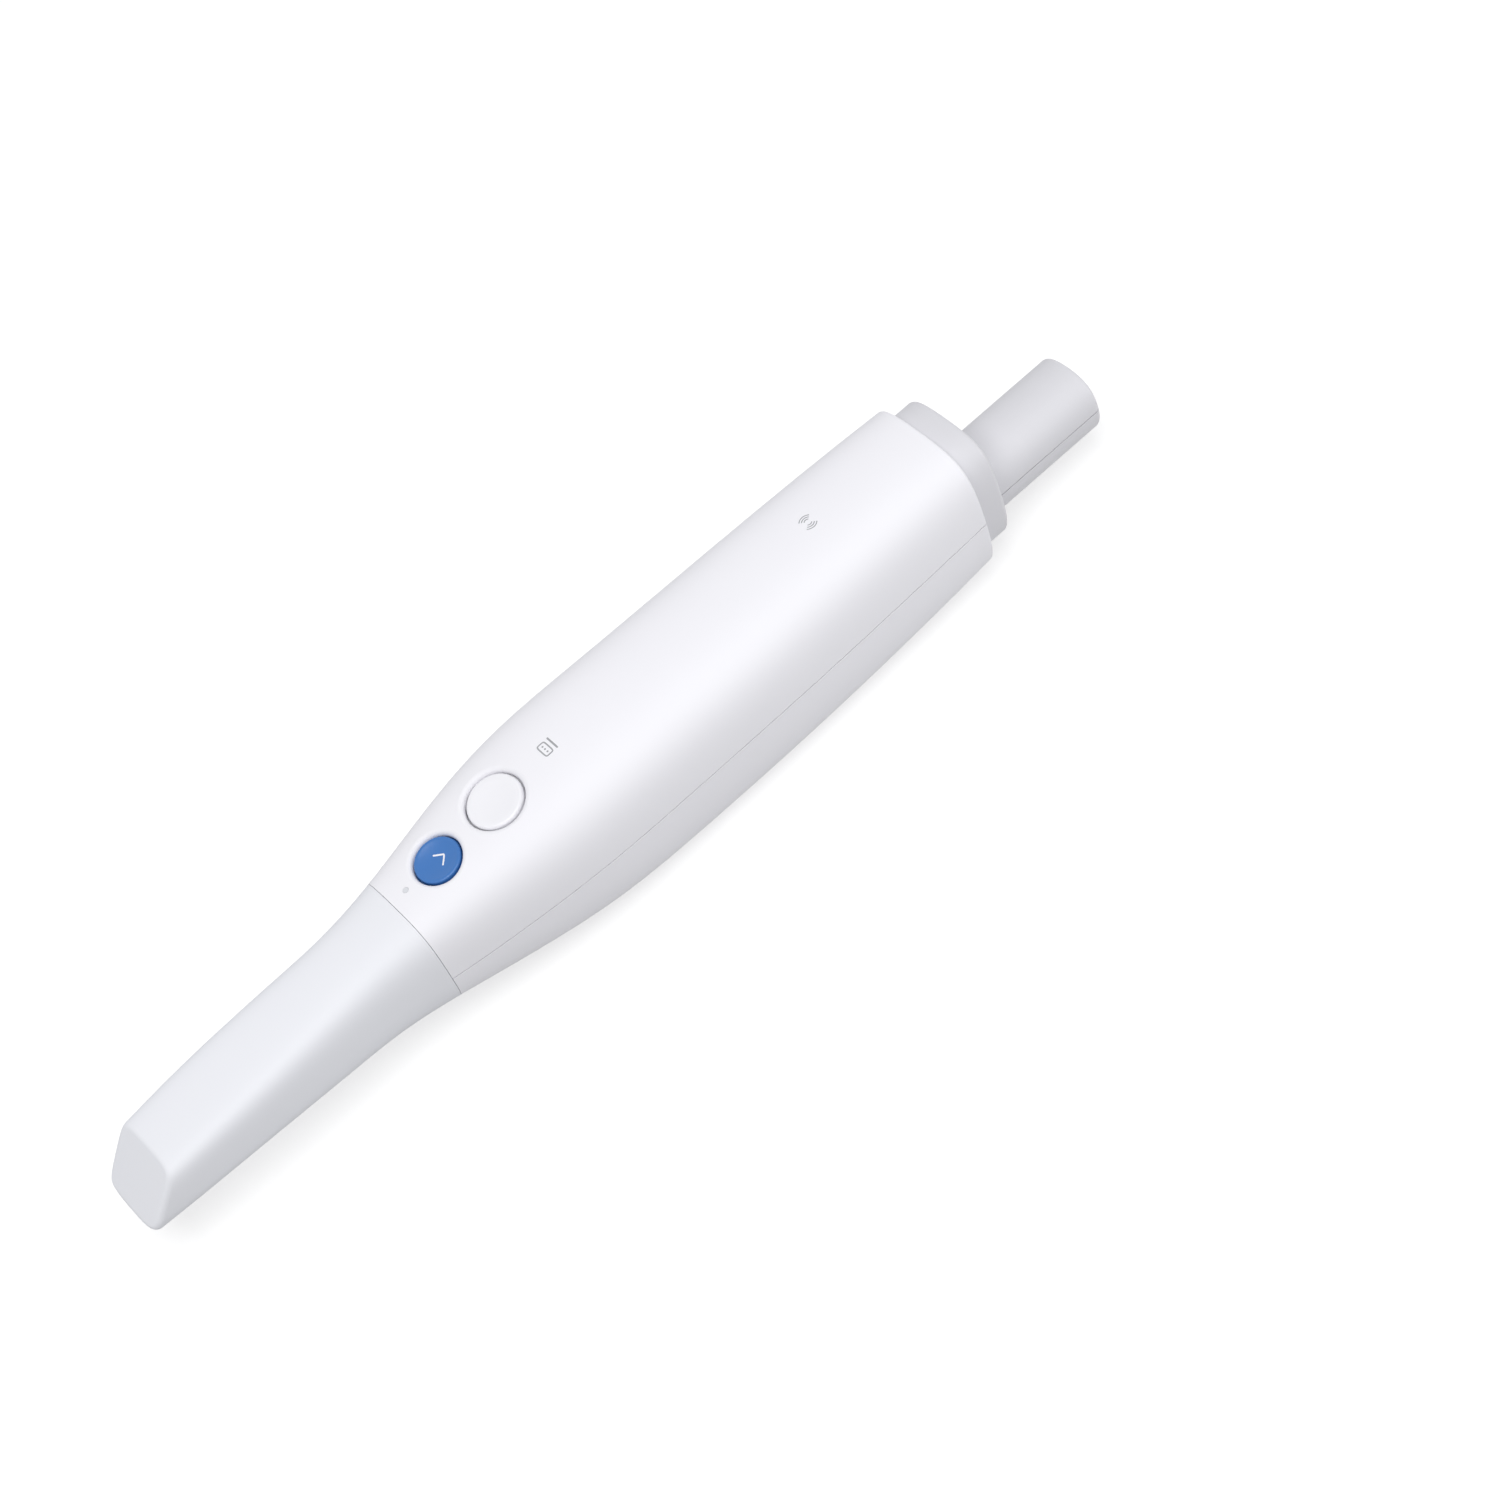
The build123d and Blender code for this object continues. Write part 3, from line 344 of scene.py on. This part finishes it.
def arc(centre, radius, first, last):
    """Arc: a point at angle a lies at centre + radius (cos a, sin a), angles in degrees."""
    angle = np.radians(np.linspace(first, last, 49))
    return np.array(centre) + radius * np.stack([np.cos(angle), np.sin(angle)], -1)


def line(start, end):
    """Straight path: a point at share t lies at start + t (end - start), t crowded at both ends."""
    share = (1 - np.cos(np.linspace(0, np.pi, 41))) / 2
    return np.array(start) + share[:, None] * (np.array(end) - np.array(start))


def rounded_box(centre, half, power):
    """Box with round corners: x = a |cos t|^(2/p) and y = b |sin t|^(2/p).

    Each takes the sign of its cosine or sine.
    """
    turn = np.linspace(0, 2 * np.pi, 128, endpoint=False)
    round_trip = np.stack([np.cos(turn), np.sin(turn)], -1)
    reach = np.sign(round_trip) * np.abs(round_trip) ** (2 / power)
    return np.array(centre) + np.array(half) * reach


def chevron(tip, reach, rise, corner):
    """Chevron: x falls from the tip by rise / reach (sqrt(y^2 + c^2) - c), with a round corner c."""
    y = np.linspace(-reach, reach, 81)
    fall = rise / reach * (np.sqrt(y ** 2 + corner ** 2) - corner)
    return np.stack([tip[0] - fall, tip[1] + y], -1)


def printed(name, strokes, loops, node, body, ink):
    """Thin film of ink: the strokes dropped straight down on a piece, half sunk into it."""
    piece = surface(name, strokes, loops)
    drop = piece.modifiers.new("drop", "SHRINKWRAP")
    drop.target = frame["nodes"][node]
    drop.wrap_method = "PROJECT"
    drop.use_project_z = True
    drop.use_negative_direction = True
    drop.use_positive_direction = False
    close_ends = piece.modifiers.new("close_ends", "WELD")
    close_ends.merge_threshold = WELD_REACH
    film = piece.modifiers.new("film", "SOLIDIFY")
    film.thickness = INK
    film.offset = 0
    graph = bpy.context.evaluated_depsgraph_get()
    laid = bpy.data.meshes.new_from_object(piece.evaluated_get(graph))
    piece.modifiers.clear()
    piece.data = laid
    piece.data.materials.append(ink)
    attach(piece, body)


printed(
    "light_sign",
    [
        stroke(rounded_box(LIGHT_SIGN, LIGHT_FRAME, FRAME_POWER), FRAME_LINE, True),
        *[
            stroke(
                line((LIGHT_SIGN[0] - DOT_REACH, y), (LIGHT_SIGN[0] + DOT_REACH, y)),
                2 * DOT_REACH,
            )
            for y in LIGHT_DOTS
        ],
        stroke(
            line((LIGHT_SIGN[0] + BAR_AHEAD, -BAR_REACH), (LIGHT_SIGN[0] + BAR_AHEAD, BAR_REACH)),
            BAR_LINE,
        ),
    ],
    [True] + [False] * 4,
    "upper_cover",
    "handle",
    SIGN_GREY,
)
printed(
    "wave_sign",
    [
        stroke(arc(WAVE_SIGN, radius, side - WAVE_OPENING, side + WAVE_OPENING), WAVE_LINE)
        for side in (90, -90)
        for radius in WAVE_RADII
    ],
    [False] * 6,
    "upper_cover",
    "handle",
    SIGN_GREY,
)
printed(
    "press_sign",
    [stroke(chevron(PRESS_SIGN, reach=2.1, rise=2.2, corner=0.2), PRESS_LINE)],
    [False],
    "scan_button",
    "scan_key",
    FINISHES["button_white"],
)


# Floor, lamps and camera

FLOOR_REACH = 12.0
FLOOR_DROP = 0.05 * MM
PAPER_GREY = (0.5, 0.5, 0.5, 1)
PAPER_ROUGH = 0.9
PAPER_GLOW = 0.62
SKY_COLOUR = (0.97, 0.98, 1.0, 1)
SKY_ON_PART = 0.44
SKY_SEEN = 1.0
SENSOR_WIDTH = 36.0
PHOTO_WIDTH = 1500
FOCAL_PIXELS = 3323.25
PHOTO_PLACE = (
    (0.73357, 0.64360, -0.21831, -0.151203),
    (-0.63262, 0.52928, -0.56537, -0.48092),
    (-0.24833, 0.55285, 0.79542, 0.667905),
    (0, 0, 0, 1),
)


def floor_sheet(reach, height, count):
    """Flat sheet: a point at shares u and v lies at (R u, R v, height), u and v from -1 to 1."""
    share = np.linspace(-1, 1, count)
    u, v = np.meshgrid(share, share, indexing="ij")
    return surface("studio_floor", [np.stack([reach * u, reach * v, 0 * u + height], -1)], [False])


def looked_at(tree):
    """1 for what is seen straight, mirrored or through glass, and 0 for the light on the object."""
    path = put(tree, "ShaderNodeLightPath")
    direct = put(tree, "ShaderNodeMath", operation="ADD")
    tree.links.new(path.outputs["Is Camera Ray"], direct.inputs[0])
    tree.links.new(path.outputs["Is Glossy Ray"], direct.inputs[1])
    every = put(tree, "ShaderNodeMath", operation="ADD", use_clamp=True)
    tree.links.new(direct.outputs[0], every.inputs[0])
    tree.links.new(path.outputs["Is Transmission Ray"], every.inputs[1])
    return every.outputs[0]


floor = floor_sheet(FLOOR_REACH, -FLOOR_DROP, 33)
paper = bpy.data.materials.new("pale_paper")
paper.use_nodes = True
tree = paper.node_tree
bsdf = tree.nodes["Principled BSDF"]
bsdf.inputs["Base Color"].default_value = PAPER_GREY
bsdf.inputs["Roughness"].default_value = PAPER_ROUGH
glow = put(tree, "ShaderNodeEmission")
tree.links.new(ranged(tree, looked_at(tree), 0.0, PAPER_GLOW), glow.inputs["Strength"])
both = put(tree, "ShaderNodeAddShader")
tree.links.new(bsdf.outputs[0], both.inputs[0])
tree.links.new(glow.outputs[0], both.inputs[1])
tree.links.new(both.outputs[0], tree.nodes["Material Output"].inputs["Surface"])
floor.data.materials.append(paper)

world = bpy.data.worlds.new("studio")
bpy.context.scene.world = world
world.use_nodes = True
tree = world.node_tree
sky = tree.nodes["Background"]
tree.links.new(ranged(tree, looked_at(tree), SKY_ON_PART, SKY_SEEN), sky.inputs["Strength"])
sky.inputs["Color"].default_value = SKY_COLOUR


def lamp(name, place, aim, size, power):
    """Square soft lamp at a place, facing a point."""
    light = bpy.data.lights.new(name, "AREA")
    light.size = size
    light.energy = power
    holder = bpy.data.objects.new(name, light)
    bpy.context.collection.objects.link(holder)
    back = np.array(place, float) - np.array(aim, float)
    back /= np.linalg.norm(back)
    right = np.cross((0.0, 1.0, 0.01), back)
    right /= np.linalg.norm(right)
    turn = np.eye(4)
    turn[:3] = np.stack([right, np.cross(back, right), back, place], -1)
    holder.matrix_world = Matrix(turn.tolist())


lamp("overhead_softbox", place=(-0.22, -0.27, 1.12), aim=(0, 0, 0.02), size=0.9, power=8.6)
lamp("rear_fill", place=(0.60, -0.35, 0.15), aim=(0.10, 0, 0.03), size=0.3, power=1.1)

camera = bpy.data.cameras.new("photo_view")
camera.sensor_width = SENSOR_WIDTH
camera.lens = SENSOR_WIDTH * FOCAL_PIXELS / PHOTO_WIDTH
eye = bpy.data.objects.new("photo_view", camera)
bpy.context.collection.objects.link(eye)
eye.matrix_world = Matrix(PHOTO_PLACE)
bpy.context.scene.camera = eye
bpy.context.scene.view_settings.view_transform = "Standard"
